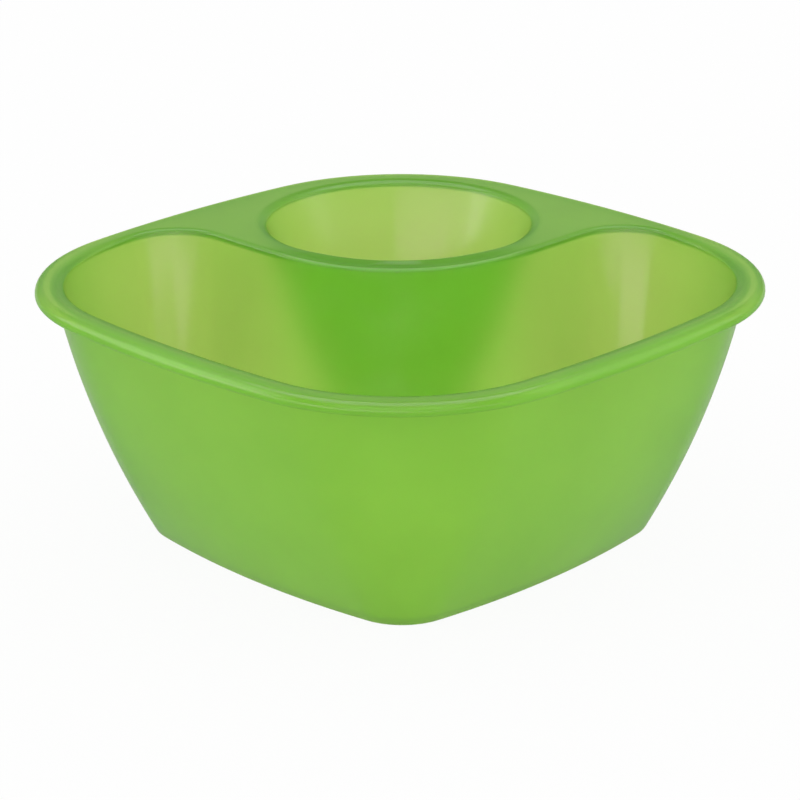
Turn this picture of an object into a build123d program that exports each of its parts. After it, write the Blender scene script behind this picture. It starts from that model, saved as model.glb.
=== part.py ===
"""Chip and dip server: one thin moulding, drawn as a chip bowl, a dip cup and the rim deck that joins them.

The square's sides lie along X and Y, the table is at Z = 0, and the dip cup fills the +X +Y corner.
"""

from build123d import *
import math
import os

# Rim, the outermost outline
rim_half_width = 135.0
rim_side_radius = 527.0
rim_side_span = 113.0
rim_height = 112.0
rim_overhang = 7.6
rim_slope_drop = 1.2
rim_edge_round = 0.5

# Base of the chip bowl, where it stands on the table
base_half_width = 86.0
base_side_radius = 377.0
base_side_span = 121.7
base_edge_round = 2.5
floor_edge_round = 5.0

# Shell
wall = 2.4
wall_bulge = 0.12
wall_stations = 4
lip_round = 3.5
lip_land = 0.5
collar_depth = 6.0
collar_stations = 2

# Divider between the chips and the dip
ridge_gap = 6.8
divider_corner_radius_top = 27.0
divider_corner_radius_base = 12.0
divider_corner_land = 3.9

# Dip cup
cup_mouth_radius = 59.0
cup_foot_radius = 22.0
cup_rear_land = 10.7
cup_edge_round = 6.0

on_base = (Align.CENTER, Align.CENTER, Align.MIN)
diagonal = Plane(origin=(0, 0, 0), x_dir=(1, 1, 0), z_dir=(1, -1, 0))


def tangent_corner(half_width, side_radius, side_span):
    """Radius of the corner arc that is tangent to both bowed sides where their span ends."""
    meet = math.asin(side_span / 2 / side_radius)
    return side_radius - (side_radius - half_width) / (math.cos(meet) - math.sin(meet))


def corner_centre(half_width, side_radius, corner_radius):
    """Distance along X and Y of a corner arc that is tangent to both bowed sides."""
    side_centre = side_radius - half_width
    reach = side_radius - corner_radius
    return (math.sqrt(2 * reach**2 - side_centre**2) - side_centre) / 2


# Corners of the outlines
rim_corner_radius = tangent_corner(rim_half_width, rim_side_radius, rim_side_span)
rim_corner_centre = corner_centre(rim_half_width, rim_side_radius, rim_corner_radius)
rim_corner_reach = rim_corner_centre * math.sqrt(2) + rim_corner_radius
base_corner_radius = tangent_corner(base_half_width, base_side_radius, base_side_span)

# The cup stands off the rim's rear corner, and the divider off the cup
cup_axis = (rim_corner_reach - cup_rear_land - wall - cup_mouth_radius) / math.sqrt(2)
divider_half_gap_top = cup_mouth_radius + wall + ridge_gap - cup_axis
divider_half_gap_base = base_side_span / 2 - divider_corner_land - divider_corner_radius_base

# Heights and widths shared by the pieces
collar_base = rim_height - collar_depth
deck_underside = rim_height - wall
rim_slope_width = rim_overhang + wall - lip_round - lip_land


def front_half(half_width, side_radius, corner_radius):
    """Arcs from the front corner to the left corner; returns the angle where sides meet corners."""
    centre = corner_centre(half_width, side_radius, corner_radius)
    side_centre = side_radius - half_width
    meet = math.degrees(math.atan2(centre, centre + side_centre))
    CenterArc((-centre, -centre), corner_radius, 225, meet - 45)
    CenterArc((side_centre, 0), side_radius, 180 + meet, -2 * meet)
    CenterArc((-centre, centre), corner_radius, 180 - meet, 2 * meet - 90)
    return meet


def rim_section(height):
    """Face inside the rim's square outline, with bowed sides and round corners."""
    side_centre = rim_side_radius - rim_half_width
    with BuildSketch(Plane.XY.offset(height)) as section:
        with BuildLine():
            meet = front_half(rim_half_width, rim_side_radius, rim_corner_radius)
            CenterArc((0, -side_centre), rim_side_radius, 90 + meet, -2 * meet)
            CenterArc((rim_corner_centre, rim_corner_centre), rim_corner_radius, 90 - meet, meet - 45)
            mirror(about=diagonal)
        make_face()
    return section.sketch


def between(base, top, height):
    """A wall size at a height: the walls flare from base to rim with an even outward bulge."""
    part_way = height / rim_height
    flare = part_way + wall_bulge * 4 * part_way * (1 - part_way)
    return base + (top - base) * flare


def well_section(height, inset):
    """Face inside the chip bowl's outline at a height, moved inward by inset."""
    half_width = between(base_half_width, rim_half_width - rim_overhang, height) - inset
    side_radius = between(base_side_radius, rim_side_radius - rim_overhang, height) - inset
    corner_radius = between(base_corner_radius, rim_corner_radius - rim_overhang, height) - inset
    half_gap = between(divider_half_gap_base, divider_half_gap_top, height) + inset
    bend = between(divider_corner_radius_base, divider_corner_radius_top, height) - inset
    side_centre = side_radius - half_width
    bend_x = -half_gap - bend
    bend_y = math.sqrt((side_radius - bend) ** 2 - bend_x**2) - side_centre
    bend_angle = math.degrees(math.atan2(bend_y + side_centre, bend_x))
    with BuildSketch(Plane.XY.offset(height)) as section:
        with BuildLine():
            meet = front_half(half_width, side_radius, corner_radius)
            CenterArc((0, -side_centre), side_radius, 90 + meet, bend_angle - 90 - meet)
            CenterArc((bend_x, bend_y), bend, bend_angle, -bend_angle)
            Line((-half_gap, bend_y), (-half_gap, cup_axis))
            CenterArc((cup_axis, cup_axis), cup_axis + half_gap, 180, 45)
            mirror(about=diagonal)
        make_face()
    return section.sketch


def well_sections(bottom, top, inset, stations):
    """Chip bowl outlines at even steps between two heights."""
    step = (top - bottom) / (stations - 1)
    return [well_section(bottom + step * station, inset) for station in range(stations)]


def cup_cone(bottom, top, inset, mode=Mode.ADD):
    """Dip cup's tapered body between two heights, moved inward by inset."""
    slope = (cup_mouth_radius + wall - cup_foot_radius) / rim_height
    bottom_radius = cup_foot_radius + slope * bottom - inset
    top_radius = cup_foot_radius + slope * top - inset
    with Locations((cup_axis, cup_axis, bottom)):
        Cone(bottom_radius, top_radius, top - bottom, align=on_base, mode=mode)


with BuildPart() as chip_bowl:
    loft(well_sections(0, collar_base, 0, wall_stations))
    fillet(chip_bowl.edges().group_by(Axis.Z)[0], base_edge_round)
    loft(well_sections(wall, collar_base, wall, wall_stations), mode=Mode.SUBTRACT)
    fillet(chip_bowl.edges(Select.LAST).group_by(Axis.Z)[0], floor_edge_round)

with BuildPart() as dip_cup:
    cup_cone(0, collar_base, 0)
    fillet(dip_cup.edges().group_by(Axis.Z)[0], cup_edge_round)
    cup_cone(wall, collar_base, wall, Mode.SUBTRACT)
    fillet(dip_cup.edges(Select.LAST).group_by(Axis.Z)[0], cup_edge_round - wall)

with BuildPart() as rim_deck:
    extrude(rim_section(deck_underside), amount=wall)
    chamfer(rim_deck.edges().group_by(Axis.Z)[-1], rim_slope_drop, rim_slope_width)
    edge_levels = rim_deck.edges().group_by(Axis.Z)
    fillet(edge_levels[0] + edge_levels[2], rim_edge_round)
    loft(well_sections(collar_base, rim_height, 0, collar_stations))
    cup_cone(collar_base, rim_height, 0)
    loft(well_sections(collar_base, rim_height, wall, collar_stations), mode=Mode.SUBTRACT)
    fillet(rim_deck.edges(Select.LAST).group_by(Axis.Z)[-1], lip_round)
    cup_cone(collar_base, rim_height, wall, Mode.SUBTRACT)
    fillet(rim_deck.edges(Select.LAST).group_by(Axis.Z)[-1], lip_round)

for piece, name in ((chip_bowl, "chip_bowl"), (dip_cup, "dip_cup"), (rim_deck, "rim_deck")):
    piece.part.label = name

os.makedirs("parts", exist_ok=True)
export_step(chip_bowl.part, "parts/chip_bowl.step")
export_step(dip_cup.part, "parts/dip_cup.step")
export_step(rim_deck.part, "parts/rim_deck.step")
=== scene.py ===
"""Looks of a translucent lime-green chip and dip server: one moulded shell around its CAD frame."""

from collections import namedtuple
import math

import bmesh
import bpy
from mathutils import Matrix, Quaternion, Vector
from mathutils.geometry import tessellate_polygon


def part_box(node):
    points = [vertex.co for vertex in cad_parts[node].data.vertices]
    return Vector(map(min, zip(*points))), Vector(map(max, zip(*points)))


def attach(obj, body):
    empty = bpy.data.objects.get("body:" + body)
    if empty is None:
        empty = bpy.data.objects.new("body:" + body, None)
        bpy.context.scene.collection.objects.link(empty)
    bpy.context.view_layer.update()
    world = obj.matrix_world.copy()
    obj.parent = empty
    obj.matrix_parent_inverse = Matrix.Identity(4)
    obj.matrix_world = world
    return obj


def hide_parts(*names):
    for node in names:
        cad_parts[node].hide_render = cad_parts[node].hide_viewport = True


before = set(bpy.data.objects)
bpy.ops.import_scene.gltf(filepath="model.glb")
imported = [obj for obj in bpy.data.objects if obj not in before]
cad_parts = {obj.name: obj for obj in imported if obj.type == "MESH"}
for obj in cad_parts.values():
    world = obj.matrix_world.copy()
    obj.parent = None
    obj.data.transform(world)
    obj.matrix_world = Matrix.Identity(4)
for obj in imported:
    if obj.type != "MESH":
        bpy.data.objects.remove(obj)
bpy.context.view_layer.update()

MM = 0.001

# Sizes of the moulding in metres, as the CAD source has them
_, RIM_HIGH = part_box("rim_deck")
RIM_HALF_WIDTH = RIM_HIGH.x
RIM_HEIGHT = RIM_HIGH.z
RIM_SIDE_RADIUS = 527 * MM
RIM_SIDE_SPAN = 113 * MM
RIM_OVERHANG = 7.6 * MM
BASE_HALF_WIDTH = 86 * MM
BASE_SIDE_RADIUS = 377 * MM
BASE_SIDE_SPAN = 121.7 * MM
BASE_EDGE_ROUND = 2.5 * MM
FLOOR_EDGE_ROUND = 5 * MM
WALL = 2.4 * MM
WALL_BULGE = 0.12
RIDGE_GAP = 6.8 * MM
DIVIDER_CORNER_TOP = 27 * MM
DIVIDER_CORNER_BASE = 12 * MM
DIVIDER_CORNER_LAND = 3.9 * MM
CUP_MOUTH_RADIUS = 59 * MM
CUP_FOOT_RADIUS = 22 * MM
CUP_REAR_LAND = 10.7 * MM
CUP_EDGE_ROUND = 6 * MM

# Finer forms of the rim, lips and ridge, found from the photograph's highlights

# The rim's turned-down edge, and the round at its foot
RIM_EDGE_WIDTH = 4.0 * MM
RIM_EDGE_DROP = 3.9 * MM
RIM_EDGE_ROUND = 1.3 * MM
# Rounds of the lips of the chip well and the dip cup, above and underneath
LIP_ROUND = 3.0 * MM
UNDER_LIP_ROUND = 3.4 * MM
CUP_LIP_ROUND = 5.6 * MM
UNDER_CUP_LIP_ROUND = 3.8 * MM
# Past this angle from the deck, a lip bends into its wall with a share of its radius
LIP_FOOT_START = math.radians(42)
LIP_FOOT_RADIUS = 0.3
# Along the rim the chip well's lip starts with a crown, up to an angle, with this many times its radius
LIP_CROWN_END = math.radians(18)
RIM_CROWN = 5
# The flat strip of deck along a lip, and the narrow one underneath, on floors and along the rim's edge
LIP_LAND = 1.5 * MM
GUARD = 0.3 * MM
# How far the chip well's lip stands in from the walls, and the share of that lost at corners
LIP_INSET = 3.0 * MM
LIP_CORNER_LOSS = 0.4
# Where, as the smaller of X and Y, that starts to fade towards the deck and ends
LIP_INSET_FADE = -80 * MM
LIP_INSET_END = -30 * MM
# The ridge between the dip and the chips: its lips on the chips' side and the dip's, above and underneath
RIDGE_ROUND = 3.8 * MM
RIDGE_CUP_ROUND = 1.0 * MM
UNDER_RIDGE_ROUND = 1.6 * MM
UNDER_RIDGE_CUP_ROUND = 0.6 * MM
# How far its chips' side is set back towards the dip, and how far it drops
RIDGE_SETBACK = 3.2 * MM
RIDGE_DROP = 1.0 * MM
# The depths below the deck where a lip's inset or setback starts to fade and ends
SETBACK_FADE = 45 * MM
SETBACK_END = 105 * MM
# How far from the cup's axis the ridge lies, and the angles around the axis where it starts to fade and ends
RIDGE_REACH = 100 * MM
RIDGE_FADE = 30
RIDGE_END = 58

# How dark and deep green the light through the plastic is made, from 0 for plain wall to 1 for the ridge:
# thicker plastic at the lips, painted shade on the deck and in the left and right corners, and both at the
# ridge; below 0, down to -1, a painted glow
# Painted glow on the rim's flange, standing in for light scattered through it
RIM_PAINTED_GLOW = -0.6
# Painted shade on the deck, for the shadow under it
DECK_PAINTED_SHADE = 0.5
LIP_THICKNESS = 0.85
# Painted shade on the walls and lips in the left and right corners
CORNER_PAINTED_SHADE = 0.35
# The ridge: thicker plastic with painted shade
RIDGE_THICKNESS_AND_SHADE = 1
# Painted glow on the divider's wall below the ridge
DIVIDER_PAINTED_GLOW = -0.8
# The share of the rim's painted glow that is lost in the left and right corners, as painted shade, and how
# tightly those are drawn
CORNER_PAINTED_GLOW_LOSS = 0.5
CORNER_TIGHTNESS = 4
# Shares of a lip's round where its full thickness starts and ends, and where its wall starts
LIP_THICK_START = 0.2
LIP_THICK_END = 0.6
LIP_WALL_START = 0.95
RIDGE_THICK_END = 0.25
RIDGE_WALL_START = 0.45

# Points along each stretch of an outline
CORNER_STEPS = 20
SIDE_STEPS = 24
REAR_SIDE_STEPS = 14
BEND_STEPS = 14
FLANK_STEPS = 10
BULGE_STEPS = 20
CUP_STEPS = 128
# Loops along a round, the rim's edge and a wall, and finer steps of a lip between two loops
ROUND_STEPS = 16
RIM_EDGE_STEPS = 32
WALL_STEPS = 22
LIP_SUBSTEPS = 4

# A hollow of one skin of the shell, without its lip
Hollow = namedtuple("Hollow", "outline wall_inset deck floor floor_round top_slope base_slope")
# A hollow's lip: crown and inset are for its stretch along the rim, setback and drop for the ridge
Lip = namedtuple("Lip", "radius ridge_radius land crown inset setback drop", defaults=(1, 0, 0, 0))

WELL_LIP = Lip(LIP_ROUND, RIDGE_ROUND, LIP_LAND, RIM_CROWN, LIP_INSET, RIDGE_SETBACK, RIDGE_DROP)
CUP_LIP = Lip(CUP_LIP_ROUND, RIDGE_CUP_ROUND, LIP_LAND)
UNDER_WELL_LIP = Lip(UNDER_LIP_ROUND, UNDER_RIDGE_ROUND, GUARD, setback=RIDGE_SETBACK, drop=RIDGE_DROP)
UNDER_CUP_LIP = Lip(UNDER_CUP_LIP_ROUND, UNDER_RIDGE_CUP_ROUND, GUARD)


def blend(start, end, share):
    """The value that lies a share of the way from start to end."""
    return start + (end - start) * share


def step(start, end, value):
    """0 up to start, 1 from end on, and even between them."""
    return min(max((value - start) / (end - start), 0), 1)


def soft_step(start, end, value):
    """0 up to start, 1 from end on, and easing between them."""
    part_way = step(start, end, value)
    return part_way**2 * (3 - 2 * part_way)


def arc(centre, radius, start, end, steps):
    """Points along an arc between two angles in degrees, without its last point."""
    points = []
    for i in range(steps):
        angle = math.radians(blend(start, end, i / steps))
        points.append((centre[0] + radius * math.cos(angle), centre[1] + radius * math.sin(angle)))
    return points


def both_halves(half, last):
    """A closed outline from the half on one side of the diagonal X = Y, from the front corner to last."""
    mirrored = [(y, x) for x, y in half[1:]]
    return half + [last] + mirrored[::-1]


def tangent_corner(half_width, side_radius, side_span):
    """Radius of the corner arc that is tangent to both bowed sides where their span ends."""
    meet = math.asin(side_span / 2 / side_radius)
    return side_radius - (side_radius - half_width) / (math.cos(meet) - math.sin(meet))


def corner_centre(half_width, side_radius, corner_radius):
    """Distance along X and Y of a corner arc that is tangent to both bowed sides."""
    side_centre = side_radius - half_width
    reach = side_radius - corner_radius
    return (math.sqrt(2 * reach**2 - side_centre**2) - side_centre) / 2


# Corners of the outlines, and what stands off them
RIM_CORNER_RADIUS = tangent_corner(RIM_HALF_WIDTH, RIM_SIDE_RADIUS, RIM_SIDE_SPAN)
BASE_CORNER_RADIUS = tangent_corner(BASE_HALF_WIDTH, BASE_SIDE_RADIUS, BASE_SIDE_SPAN)
RIM_CORNER_CENTRE = corner_centre(RIM_HALF_WIDTH, RIM_SIDE_RADIUS, RIM_CORNER_RADIUS)
RIM_CORNER_REACH = RIM_CORNER_CENTRE * math.sqrt(2) + RIM_CORNER_RADIUS
CUP_AXIS = (RIM_CORNER_REACH - CUP_REAR_LAND - WALL - CUP_MOUTH_RADIUS) / math.sqrt(2)
CUP_SLOPE = (CUP_MOUTH_RADIUS + WALL - CUP_FOOT_RADIUS) / RIM_HEIGHT
DIVIDER_HALF_GAP_TOP = CUP_MOUTH_RADIUS + WALL + RIDGE_GAP - CUP_AXIS
DIVIDER_HALF_GAP_BASE = BASE_SIDE_SPAN / 2 - DIVIDER_CORNER_LAND - DIVIDER_CORNER_BASE


def front_half(half_width, side_radius, corner_radius):
    """Points from the front corner past the left one, the angle where sides meet corners, and arc centres."""
    centre = corner_centre(half_width, side_radius, corner_radius)
    side_centre = side_radius - half_width
    meet = math.degrees(math.atan2(centre, centre + side_centre))
    points = arc((-centre, -centre), corner_radius, 225, 180 + meet, CORNER_STEPS // 2)
    points += arc((side_centre, 0), side_radius, 180 + meet, 180 - meet, SIDE_STEPS)
    points += arc((-centre, centre), corner_radius, 180 - meet, 90 + meet, CORNER_STEPS)
    return points, meet, centre, side_centre


def rim_outline(inset):
    """The rim's square outline with bowed sides, moved inward by inset."""
    side_radius = RIM_SIDE_RADIUS - inset
    corner_radius = RIM_CORNER_RADIUS - inset
    points, meet, centre, side_centre = front_half(RIM_HALF_WIDTH - inset, side_radius, corner_radius)
    points += arc((0, -side_centre), side_radius, 90 + meet, 90 - meet, SIDE_STEPS)
    points += arc((centre, centre), corner_radius, 90 - meet, 45, CORNER_STEPS // 2)
    tip = centre + corner_radius / math.sqrt(2)
    return both_halves(points, (tip, tip))


def between(base, top, height):
    """A wall size at a height: the walls flare from base to rim with an even outward bulge."""
    part_way = height / RIM_HEIGHT
    return blend(base, top, part_way + WALL_BULGE * 4 * part_way * (1 - part_way))


def well_outline(inset, height):
    """The chip bowl's outline at a height, moved inward by inset."""
    half_width = between(BASE_HALF_WIDTH, RIM_HALF_WIDTH - RIM_OVERHANG, height) - inset
    side_radius = between(BASE_SIDE_RADIUS, RIM_SIDE_RADIUS - RIM_OVERHANG, height) - inset
    corner_radius = between(BASE_CORNER_RADIUS, RIM_CORNER_RADIUS - RIM_OVERHANG, height) - inset
    half_gap = between(DIVIDER_HALF_GAP_BASE, DIVIDER_HALF_GAP_TOP, height) + inset
    bend = between(DIVIDER_CORNER_BASE, DIVIDER_CORNER_TOP, height) - inset
    points, meet, _, side_centre = front_half(half_width, side_radius, corner_radius)
    bend_x = -half_gap - bend
    bend_y = math.sqrt((side_radius - bend) ** 2 - bend_x**2) - side_centre
    bend_angle = math.degrees(math.atan2(bend_y + side_centre, bend_x))
    points += arc((0, -side_centre), side_radius, 90 + meet, bend_angle, REAR_SIDE_STEPS)
    points += arc((bend_x, bend_y), bend, bend_angle, 0, BEND_STEPS)
    for i in range(FLANK_STEPS):
        points.append((-half_gap, blend(bend_y, CUP_AXIS, i / FLANK_STEPS)))
    points += arc((CUP_AXIS, CUP_AXIS), CUP_AXIS + half_gap, 180, 225, BULGE_STEPS)
    tip = CUP_AXIS - (CUP_AXIS + half_gap) / math.sqrt(2)
    return both_halves(points, (tip, tip))


def cup_outline(inset, height):
    """The dip cup's circle at a height, moved inward by inset."""
    radius = CUP_FOOT_RADIUS + CUP_SLOPE * height - inset
    return arc((CUP_AXIS, CUP_AXIS), radius, 45, 405, CUP_STEPS)


def well_slope(height):
    """How far the chip bowl's side moves outward per metre of height."""
    flare = RIM_HALF_WIDTH - RIM_OVERHANG - BASE_HALF_WIDTH
    return flare * (1 + WALL_BULGE * 4 * (1 - 2 * height / RIM_HEIGHT)) / RIM_HEIGHT


def bend_radius(turn, lip_round, crown):
    """Radius of a lip where it has turned this far down from the deck."""
    if turn < LIP_CROWN_END:
        return lip_round * crown
    if turn > LIP_FOOT_START:
        return lip_round * LIP_FOOT_RADIUS
    return lip_round


def lip_curve(lip_round, crown, lean):
    """How far a round lip reaches and drops at each loop, from the deck to its leaning wall."""
    turn_step = (math.pi / 2 - lean) / (ROUND_STEPS * LIP_SUBSTEPS)
    reach, drop = 0, 0
    curve = [(reach, drop)]
    for i in range(ROUND_STEPS):
        for j in range(LIP_SUBSTEPS):
            turn = turn_step * (i * LIP_SUBSTEPS + j + 0.5)
            length = turn_step * bend_radius(turn, lip_round, crown)
            reach += length * math.cos(turn)
            drop += length * math.sin(turn)
        curve.append((reach, drop))
    return curve


def lip_profile(hollow, lip_round, land, crown):
    """Insets and heights of a hollow's loops from the deck over its round lip."""
    curve = lip_curve(lip_round, crown, math.atan(hollow.top_slope))
    end_reach, end_drop = curve[-1]
    start = hollow.wall_inset - end_reach + hollow.top_slope * end_drop
    profile = [(start - land, hollow.deck)]
    for reach, drop in curve:
        profile.append((start + reach - hollow.top_slope * drop, hollow.deck - drop))
    return profile


def floor_profile(hollow):
    """Insets and heights of a hollow's loops over the round at its foot and onto its floor."""
    lean = math.atan(hollow.base_slope)
    foot_reach = (1 - math.sin(lean)) / math.cos(lean)
    profile = []
    for i in range(ROUND_STEPS + 1):
        turn = (math.pi / 2 - lean) * (1 - i / ROUND_STEPS)
        rise = hollow.floor_round * (1 - math.cos(turn))
        outward = hollow.floor_round * (math.sin(turn) - foot_reach)
        profile.append((hollow.wall_inset + hollow.base_slope * rise - outward, hollow.floor + rise))
    profile.append((profile[-1][0] + GUARD, hollow.floor))
    return profile


def hollow_profile(hollow, lip_round, land, crown=1):
    """Insets and heights of a hollow's loops, from the deck over its lip and down its wall to its floor."""
    lip = lip_profile(hollow, lip_round, land, crown)
    floor = floor_profile(hollow)
    _, wall_top = lip[-1]
    _, wall_base = floor[0]
    wall = []
    for i in range(1, WALL_STEPS):
        wall.append((hollow.wall_inset, blend(wall_top, wall_base, i / WALL_STEPS)))
    return lip + wall + floor


def set_back(profile, setback, drop):
    """A hollow's profile with its upper wall moved outward and dropped, which fades towards the floor."""
    _, top = profile[0]
    moved = []
    for inset, height in profile:
        share = 1 - step(SETBACK_FADE, SETBACK_END, top - height)
        moved.append((inset - setback * share, height - drop * share))
    return moved


def rim_profile():
    """Insets and heights of the rim's loops, from the flange over its edge and back underneath."""
    profile = [(RIM_EDGE_WIDTH + GUARD, RIM_HEIGHT)]
    for i in range(RIM_EDGE_STEPS):
        turn = math.pi / 2 * i / RIM_EDGE_STEPS
        inset = RIM_EDGE_WIDTH * (1 - math.sin(turn))
        profile.append((inset, RIM_HEIGHT - RIM_EDGE_DROP * (1 - math.cos(turn))))
    for i in range(ROUND_STEPS + 1):
        turn = math.pi / 2 * i / ROUND_STEPS
        height = RIM_HEIGHT - RIM_EDGE_DROP - RIM_EDGE_ROUND * math.sin(turn)
        profile.append((RIM_EDGE_ROUND * (1 - math.cos(turn)), height))
    under_inset, under_height = profile[-1]
    for i in range(1, ROUND_STEPS + 1):
        inset = blend(under_inset, RIM_EDGE_WIDTH, i / ROUND_STEPS)
        height = blend(under_height, RIM_HEIGHT - WALL, soft_step(0, ROUND_STEPS, i))
        profile.append((inset, height))
    profile.append((RIM_EDGE_WIDTH + GUARD, RIM_HEIGHT - WALL))
    return profile


def cornerness(x, y):
    """1 towards the front and rear corners, -1 towards the left and right ones, and 0 at mid-side."""
    return 2 * x * y / (x**2 + y**2)


def inset_share(x, y):
    """How much of its inset a lip has at a place: less at the corners and none by the deck."""
    kept = 1 - LIP_CORNER_LOSS * cornerness(x, y) ** 2
    return kept * (1 - soft_step(LIP_INSET_FADE, LIP_INSET_END, min(x, y)))


def ridge_share(x, y):
    """1 along the ridge between the dip and the chips, falling to 0 around the rest of a mouth."""
    if math.hypot(x - CUP_AXIS, y - CUP_AXIS) > RIDGE_REACH:
        return 0
    angle = abs(math.degrees(math.atan2(y - x, 2 * CUP_AXIS - x - y)))
    return 1 - soft_step(RIDGE_FADE, RIDGE_END, angle)


def corner_share(x, y):
    """1 in the left and right corners, falling to 0 along the sides and at the front; it places the painted
    shade there.
    """
    return max(0, -cornerness(x, y)) ** CORNER_TIGHTNESS


def rim_share(x, y):
    """How much of the rim's painted glow a place has: less in the corners, as painted shade there, and none
    on the deck.
    """
    return inset_share(x, y) * (1 - CORNER_PAINTED_GLOW_LOSS * corner_share(x, y))


def lip_thickness_and_painted_light(loop, x, y):
    """How thick the plastic looks at a place on a hollow's loop, counted from the deck, with painted shade on
    the deck, ridge and corners and a painted glow on the rim and divider.
    """
    part_way = loop / ROUND_STEPS
    # The deck's value, turning into the rim's painted glow along the rim
    deck = blend(DECK_PAINTED_SHADE, RIM_PAINTED_GLOW, rim_share(x, y))
    # Painted shade on the walls in the left and right corners
    wall = CORNER_PAINTED_SHADE * corner_share(x, y)
    lip = blend(deck, LIP_THICKNESS, step(0, LIP_THICK_START, part_way))
    lip = blend(lip, wall, step(LIP_THICK_END, LIP_WALL_START, part_way))
    wall_share = step(RIDGE_THICK_END, RIDGE_WALL_START, part_way)
    # Below the ridge's lip the divider's wall gets a painted glow
    ridge = blend(RIDGE_THICKNESS_AND_SHADE, DIVIDER_PAINTED_GLOW, wall_share)
    return blend(lip, ridge, ridge_share(x, y))


def rings_of(hollow, profile):
    """Places along each loop of a hollow's profile."""
    return [[Vector((x, y, height)) for x, y in hollow.outline(inset, height)] for inset, height in profile]


def hollow_loops(hollow, lip):
    """Places of a hollow's loops with their thickness, painted shade and painted glow; its lip has its own
    shapes along the rim and the ridge.
    """
    plain_profile = hollow_profile(hollow, lip.radius, lip.land)
    by_rim_profile = set_back(hollow_profile(hollow, lip.radius, lip.land, lip.crown), -lip.inset, 0)
    ridge_profile = set_back(hollow_profile(hollow, lip.ridge_radius, lip.land), lip.setback, lip.drop)
    shapes = [rings_of(hollow, profile) for profile in (plain_profile, by_rim_profile, ridge_profile)]
    loops = []
    for count, rings in enumerate(zip(*shapes)):
        loop = []
        for plain, by_rim, ridge in zip(*rings):
            x, y, _ = plain
            place = plain + (by_rim - plain) * inset_share(x, y) + (ridge - plain) * ridge_share(x, y)
            loop.append((place, lip_thickness_and_painted_light(count, x, y)))
        loops.append(loop)
    return loops


def rim_loops():
    """Places of the rim's loops with their painted shade and painted glow; the glow fades towards the edge.
    """
    loops = []
    for inset, height in rim_profile():
        painted_glow = RIM_PAINTED_GLOW * step(0, RIM_EDGE_WIDTH, inset)
        loop = []
        for x, y in rim_outline(inset):
            loop.append(((x, y, height), blend(DECK_PAINTED_SHADE, painted_glow, rim_share(x, y))))
        loops.append(loop)
    return loops


def add_loops(mesh, loops):
    """Bands of quads along loops of places; returns the first and last loop of vertices."""
    # Each vertex carries the plastic's thickness with painted shade, or a painted glow below 0
    layer = mesh.verts.layers.float["thickness_and_painted_light"]
    rings = []
    for loop in loops:
        ring = []
        for place, thickness_and_painted_light in loop:
            vert = mesh.verts.new(place)
            vert[layer] = thickness_and_painted_light
            ring.append(vert)
        rings.append(ring)
    for upper, lower in zip(rings, rings[1:]):
        for i in range(len(upper)):
            j = (i + 1) % len(upper)
            mesh.faces.new((upper[i], upper[j], lower[j], lower[i]))
    return rings[0], rings[-1]


def fill_between(mesh, *loops):
    """Triangles between an outer loop and any loops inside it."""
    verts = [vert for loop in loops for vert in loop]
    for corners in tessellate_polygon([[vert.co for vert in loop] for loop in loops]):
        mesh.faces.new([verts[i] for i in corners])


def skin_hollows(wall_inset, deck, floor, well_round, cup_round):
    """The chip well and the dip cup of one skin, with the rounds at their feet."""
    well = Hollow(well_outline, wall_inset, deck, floor, well_round, well_slope(deck), well_slope(floor))
    cup = Hollow(cup_outline, wall_inset, deck, floor, cup_round, CUP_SLOPE, CUP_SLOPE)
    return well, cup


def add_skin(mesh, rim_loop, hollows, lips):
    """One skin of the shell: the chip well, the dip cup and the deck between them and the rim."""
    well, cup = [hollow_loops(hollow, lip) for hollow, lip in zip(hollows, lips)]
    well_mouth, well_floor = add_loops(mesh, well)
    cup_mouth, cup_floor = add_loops(mesh, cup)
    fill_between(mesh, rim_loop, well_mouth, cup_mouth)
    fill_between(mesh, well_floor)
    fill_between(mesh, cup_floor)


def new_object(name, mesh):
    """A new object in the scene, made from a finished mesh."""
    data = bpy.data.meshes.new(name)
    mesh.to_mesh(data)
    mesh.free()
    made = bpy.data.objects.new(name, data)
    bpy.context.scene.collection.objects.link(made)
    return made


def make_server():
    """The whole moulding as one closed shell: inside, deck and rim above, outside and deck underneath."""
    mesh = bmesh.new()
    # A layer for the plastic's thickness with painted shade, and a painted glow below 0
    mesh.verts.layers.float.new("thickness_and_painted_light")
    rim_top, rim_under = add_loops(mesh, rim_loops())
    inside = skin_hollows(WALL, RIM_HEIGHT, WALL, FLOOR_EDGE_ROUND, CUP_EDGE_ROUND - WALL)
    outside = skin_hollows(0, RIM_HEIGHT - WALL, 0, BASE_EDGE_ROUND, CUP_EDGE_ROUND)
    add_skin(mesh, rim_top, inside, (WELL_LIP, CUP_LIP))
    add_skin(mesh, rim_under, outside, (UNDER_WELL_LIP, UNDER_CUP_LIP))
    bmesh.ops.recalc_face_normals(mesh, faces=mesh.faces)
    server = new_object("server_shell", mesh)
    server.data.polygons.foreach_set("use_smooth", [True] * len(server.data.polygons))
    return server


# Plastic: the greens that it reflects where it is clear and cloudy, and a brighter green painted where it
# glows
CLEAR_GREEN = "82DC40"
CLOUDY_GREEN = "8CE448"
PAINTED_GLOW_GREEN = "85F440"
CLOUD_SCALE = 22
CLOUD_DETAIL = 3
# The colours of the light that comes through plain wall, and through the thick lips and where shade is
# painted, and how it comes through
THROUGH_COLOUR = "FFFFC0"
THICK_AND_SHADED_COLOUR = "B8D084"
SCATTERED_SHARE = 0.25
CLEAR_SHARE = 0.42
CLEAR_ROUGHNESS = 0.42
PLASTIC_IOR = 1.5
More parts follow.
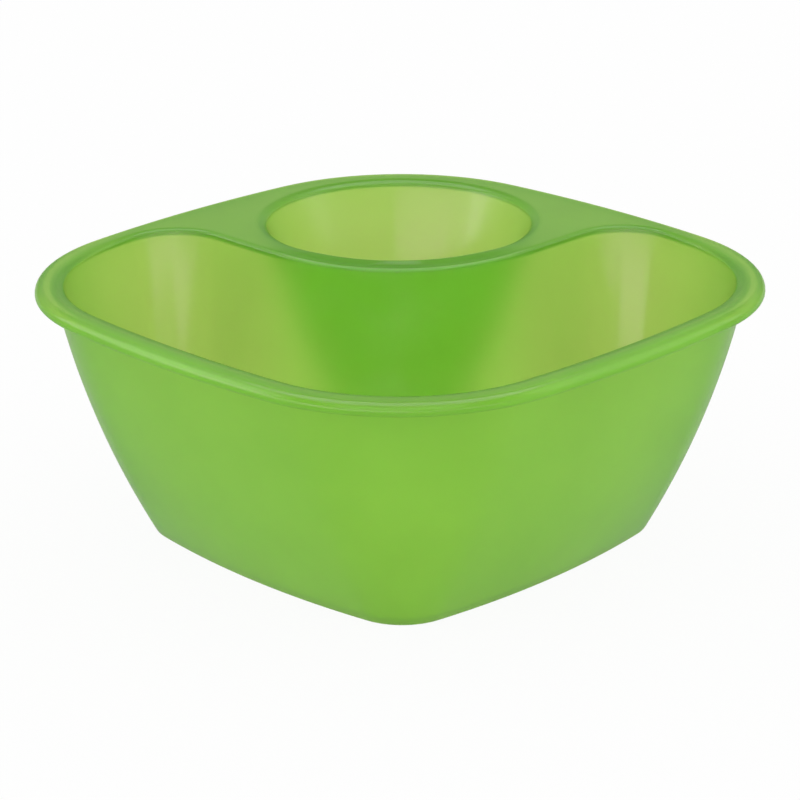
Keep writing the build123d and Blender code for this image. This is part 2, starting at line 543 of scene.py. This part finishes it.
# Its satin gloss with slightly rougher patches, and the fine grain of the mould
GLOSS_LEVEL = 0.5
GLOSS_ROUGHNESS = (0.17, 0.23)
GLOSS_SCALE = 88
GLOSS_DETAIL = 2
GRAIN_SCALE = 1400
GRAIN_DETAIL = 1
GRAIN_DEPTH = 0.01 * MM
# The middle range of the noise, which is spread over all of a pattern
NOISE_RANGE = (0.35, 0.65)


def colour(hex_code):
    """Linear colour of an sRGB hex code."""
    channels = [int(hex_code[i:i + 2], 16) / 255 for i in (0, 2, 4)]
    linear = [c / 12.92 if c <= 0.04045 else ((c + 0.055) / 1.055) ** 2.4 for c in channels]
    return (*linear, 1)


def node(tree, kind, **inputs):
    """A new shader node with some of its inputs set; underscores stand for the spaces in their names."""
    made = tree.nodes.new("ShaderNode" + kind)
    for name, value in inputs.items():
        made.inputs[name.replace("_", " ")].default_value = value
    return made


def join(tree, links):
    """Joins pairs of an output and an input."""
    for start, end in links:
        tree.links.new(start, end)


def new_material(name):
    """A new material with an empty node tree."""
    material = bpy.data.materials.new(name)
    material.use_nodes = True
    material.node_tree.nodes.clear()
    return material


def noise(tree, scale, detail):
    """Noise over the surface, from the object's own coordinates."""
    place = node(tree, "TexCoord")
    pattern = node(tree, "TexNoise", Scale=scale, Detail=detail)
    tree.links.new(place.outputs["Object"], pattern.inputs["Vector"])
    return pattern.outputs["Fac"]


def spread(tree, value, low, high, start=0, end=1):
    """A value mapped from start..end to low..high."""
    mapped = node(tree, "MapRange", From_Min=start, From_Max=end, To_Min=low, To_Max=high)
    tree.links.new(value, mapped.inputs["Value"])
    return mapped.outputs[0]


def plastic_colours(tree):
    """The colours that the plastic reflects and lets through, from its clouds, its thickness with painted
    shade, and a painted glow.
    """
    attribute = node(tree, "Attribute")
    attribute.attribute_name = "thickness_and_painted_light"
    thickness_and_painted_light = spread(tree, attribute.outputs["Fac"], 0, 1)
    # A painted glow where the layer is below 0
    painted_glow = spread(tree, attribute.outputs["Fac"], 0, 1, 0, -1)
    cloud = spread(tree, noise(tree, CLOUD_SCALE, CLOUD_DETAIL), 0, 1, *NOISE_RANGE)
    green = node(tree, "MixRGB", Color1=colour(CLEAR_GREEN), Color2=colour(CLOUDY_GREEN))
    # The painted glow: a brighter green mixed into the colour that the plastic reflects
    painted_glow_mix = node(tree, "MixRGB", Color2=colour(PAINTED_GLOW_GREEN))
    through = node(tree, "MixRGB", Color1=colour(THROUGH_COLOUR), Color2=colour(THICK_AND_SHADED_COLOUR))
    join(tree, (
        (cloud, green.inputs["Fac"]),
        (green.outputs[0], painted_glow_mix.inputs["Color1"]),
        (painted_glow, painted_glow_mix.inputs["Fac"]),
        (thickness_and_painted_light, through.inputs["Fac"]),
    ))
    return painted_glow_mix.outputs[0], through.outputs[0]


def plastic_material():
    """Satin translucent plastic: a soft gloss over a body that scatters light and lets it through."""
    material = new_material("lime_plastic")
    tree = material.node_tree
    green, through = plastic_colours(tree)
    gloss = spread(tree, noise(tree, GLOSS_SCALE, GLOSS_DETAIL), *GLOSS_ROUGHNESS, *NOISE_RANGE)
    grain = node(tree, "Bump", Strength=1, Distance=GRAIN_DEPTH)
    body = node(tree, "BsdfPrincipled", IOR=PLASTIC_IOR, Specular_IOR_Level=GLOSS_LEVEL)
    scattered = node(tree, "BsdfTranslucent")
    clear = node(tree, "BsdfRefraction", Roughness=CLEAR_ROUGHNESS, IOR=PLASTIC_IOR)
    haze = node(tree, "MixShader", Fac=SCATTERED_SHARE)
    whole = node(tree, "MixShader", Fac=CLEAR_SHARE)
    output = node(tree, "OutputMaterial")
    join(tree, (
        (noise(tree, GRAIN_SCALE, GRAIN_DETAIL), grain.inputs["Height"]),
        (green, body.inputs["Base Color"]),
        (gloss, body.inputs["Roughness"]),
        (grain.outputs[0], body.inputs["Normal"]),
        (through, scattered.inputs["Color"]),
        (through, clear.inputs["Color"]),
        (body.outputs[0], haze.inputs[1]),
        (scattered.outputs[0], haze.inputs[2]),
        (haze.outputs[0], whole.inputs[1]),
        (clear.outputs[0], whole.inputs[2]),
        (whole.outputs[0], output.inputs["Surface"]),
    ))
    return material


shell = make_server()
shell.data.materials.append(plastic_material())
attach(shell, "root")
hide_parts("chip_bowl", "dip_cup", "rim_deck")


# Floor: the share of its look that is left to the object's shadow, and what its matt white reflects
SHADOW_SHARE = 0.06
FLOOR_WHITE = 0.95
# It is a wide disc just below the table's height, so that it doesn't touch the base
FLOOR_RADIUS = 6
FLOOR_SEGMENTS = 64
FLOOR_DROP = 0.2 * MM


def seen_or_lit(tree, lit, seen):
    """One strength for rays that light the object, and another for what is seen, mirrored or seen through."""
    path = node(tree, "LightPath")
    in_view = path.outputs["Is Camera Ray"]
    for ray in ("Is Glossy Ray", "Is Transmission Ray"):
        either = node(tree, "Math")
        either.operation = "MAXIMUM"
        tree.links.new(in_view, either.inputs[0])
        tree.links.new(path.outputs[ray], either.inputs[1])
        in_view = either.outputs[0]
    return spread(tree, in_view, lit, seen)


def floor_material():
    """Matt floor that is seen as white, keeps a faint shadow and can be looked through from below."""
    material = new_material("studio_floor")
    tree = material.node_tree
    matt = node(tree, "BsdfDiffuse", Color=(FLOOR_WHITE, FLOOR_WHITE, FLOOR_WHITE, 1))
    white = node(tree, "Emission")
    above = node(tree, "MixShader")
    side = node(tree, "NewGeometry")
    below = node(tree, "BsdfTransparent")
    whole = node(tree, "MixShader")
    output = node(tree, "OutputMaterial")
    join(tree, (
        (seen_or_lit(tree, 0, 1 - SHADOW_SHARE), above.inputs[0]),
        (matt.outputs[0], above.inputs[1]),
        (white.outputs[0], above.inputs[2]),
        (side.outputs["Backfacing"], whole.inputs[0]),
        (above.outputs[0], whole.inputs[1]),
        (below.outputs[0], whole.inputs[2]),
        (whole.outputs[0], output.inputs["Surface"]),
    ))
    return material


def make_floor():
    """A wide flat floor under the server."""
    mesh = bmesh.new()
    bmesh.ops.create_circle(mesh, cap_ends=True, segments=FLOOR_SEGMENTS, radius=FLOOR_RADIUS)
    floor = new_object("studio_floor", mesh)
    floor.location.z = -FLOOR_DROP
    floor.data.materials.append(floor_material())


# Surroundings: how brightly they light the object
WORLD_STRENGTH = 0.9
# How the gloss shows the studio: its walls, the share of them left at the horizon, and its ceiling
GLOSSY_WALLS = 0.7
HORIZON_SHARE = 0.5
GLOSSY_CEILING = 0.15
# Where the horizon ends, the walls start and end and the ceiling starts, as sines of the angle of height
HORIZON_END = math.sin(math.radians(5))
WALLS_START = math.sin(math.radians(15))
WALLS_END = math.sin(math.radians(17))
CEILING_START = math.sin(math.radians(50))


def glossy_strength(tree):
    """How bright the surroundings are in the plastic's gloss, by height."""
    place = node(tree, "TexCoord")
    height = node(tree, "SeparateXYZ")
    up = height.outputs["Z"]
    strength = node(tree, "Math")
    strength.operation = "MULTIPLY"
    join(tree, (
        (place.outputs["Generated"], height.inputs[0]),
        (spread(tree, up, GLOSSY_WALLS, GLOSSY_CEILING, WALLS_END, CEILING_START), strength.inputs[0]),
        (spread(tree, up, HORIZON_SHARE, 1, HORIZON_END, WALLS_START), strength.inputs[1]),
    ))
    return strength.outputs[0]


def make_world():
    """White surroundings that fade to a dim horizon and a dim ceiling in the plastic's gloss."""
    world = bpy.data.worlds.new("studio")
    world.use_nodes = True
    tree = world.node_tree
    path = node(tree, "LightPath")
    choice = node(tree, "MapRange")
    background = tree.nodes["Background"]
    background.inputs["Color"].default_value = (1, 1, 1, 1)
    join(tree, (
        (path.outputs["Is Glossy Ray"], choice.inputs["Value"]),
        (seen_or_lit(tree, WORLD_STRENGTH, 1), choice.inputs["To Min"]),
        (glossy_strength(tree), choice.inputs["To Max"]),
        (choice.outputs[0], background.inputs["Strength"]),
    ))
    bpy.context.scene.world = world


# Camera, found by fitting the rim, walls and base to the photograph: angles in degrees, lens and sensor in mm
CAMERA_TURN = 45.31
CAMERA_RISE = 20.76
CAMERA_DISTANCE = 1.3293
CAMERA_ROLL = -0.26
CAMERA_LENS = 141.26
SENSOR_WIDTH = 36
# The height that it circles around, and the point that it aims at, above the table and to the right
ORBIT_HEIGHT = 55.07 * MM
AIM_HEIGHT = 56.7 * MM
AIM_ASIDE = -0.25 * MM

# Lamps: degrees to the right of the camera and above the level, size in metres, brightness and colour
Lamp = namedtuple("Lamp", "turn rise width height brightness tint", defaults=("FFFFFF",))
LAMP_DISTANCE = 1.5
SOFTBOXES = {
    "left_side": Lamp(turn=-75, rise=8, width=1.2, height=0.7, brightness=0.8),
    "right_side": Lamp(turn=75, rise=8, width=1.2, height=0.7, brightness=0.8),
}
# Cards that only show in the plastic's gloss, where pink over green makes whiter highlights
PINK = "FFB4F0"
PALE_PINK = "FFE6FF"
CARDS = {
    "front_card": Lamp(turn=-24, rise=19, width=1.46, height=0.42, brightness=4.8, tint=PINK),
    "left_card": Lamp(turn=-70, rise=19, width=1.09, height=0.42, brightness=3.0, tint=PINK),
    "right_card": Lamp(turn=27.5, rise=13.5, width=1.56, height=0.19, brightness=5.0, tint=PINK),
    "left_rim_card": Lamp(turn=-95, rise=31, width=1.1, height=0.85, brightness=3.6, tint=PALE_PINK),
    "right_rim_card": Lamp(turn=95, rise=31, width=1.1, height=0.85, brightness=1.7, tint=PALE_PINK),
    "top_left_card": Lamp(turn=-122, rise=52, width=1.4, height=0.6, brightness=1.3, tint=PALE_PINK),
    "top_right_card": Lamp(turn=122, rise=52, width=1.4, height=0.6, brightness=1.0, tint=PALE_PINK),
    "top_front_card": Lamp(turn=0, rise=47, width=1.6, height=0.8, brightness=2.0, tint=PALE_PINK),
    "top_card": Lamp(turn=180, rise=82, width=1.6, height=1.27, brightness=4.2, tint=PALE_PINK),
}


def direction(turn, rise):
    """Unit vector away from the server: degrees from -Y towards -X, and degrees above the level."""
    turn, rise = math.radians(turn), math.radians(rise)
    return Vector((-math.sin(turn) * math.cos(rise), -math.cos(turn) * math.cos(rise), math.sin(rise)))


def make_lamp(name, setting):
    """A flat rectangular lamp that faces the server."""
    away = direction(CAMERA_TURN - setting.turn, setting.rise)
    data = bpy.data.lights.new(name, "AREA")
    data.shape = "RECTANGLE"
    data.size = setting.width
    data.size_y = setting.height
    data.energy = setting.brightness * math.pi * setting.width * setting.height
    data.color = colour(setting.tint)[:3]
    lamp = bpy.data.objects.new(name, data)
    lamp.location = Vector((0, 0, RIM_HEIGHT / 2)) + away * LAMP_DISTANCE
    lamp.rotation_mode = "QUATERNION"
    lamp.rotation_quaternion = away.to_track_quat("Z", "Y")
    bpy.context.scene.collection.objects.link(lamp)
    return lamp


def make_lights():
    """The softboxes, and the cards that light nothing but the gloss."""
    for name, setting in SOFTBOXES.items():
        make_lamp(name, setting)
    for name, setting in CARDS.items():
        card = make_lamp(name, setting)
        card.visible_diffuse = False
        card.visible_transmission = False


def make_camera():
    """The photograph's view, over the front corner towards the dip cup."""
    turn = math.radians(CAMERA_TURN)
    right = Vector((math.cos(turn), -math.sin(turn), 0))
    aim = Vector((0, 0, AIM_HEIGHT)) + right * AIM_ASIDE
    data = bpy.data.cameras.new("camera")
    data.lens = CAMERA_LENS
    data.sensor_width = SENSOR_WIDTH
    camera = bpy.data.objects.new("camera", data)
    camera.location = Vector((0, 0, ORBIT_HEIGHT)) + direction(CAMERA_TURN, CAMERA_RISE) * CAMERA_DISTANCE
    camera.rotation_mode = "QUATERNION"
    facing = (aim - camera.location).to_track_quat("-Z", "Y")
    camera.rotation_quaternion = facing @ Quaternion((0, 0, 1), math.radians(CAMERA_ROLL))
    bpy.context.scene.collection.objects.link(camera)
    bpy.context.scene.camera = camera


make_floor()
make_world()
make_lights()
make_camera()
bpy.context.scene.view_settings.view_transform = "Standard"
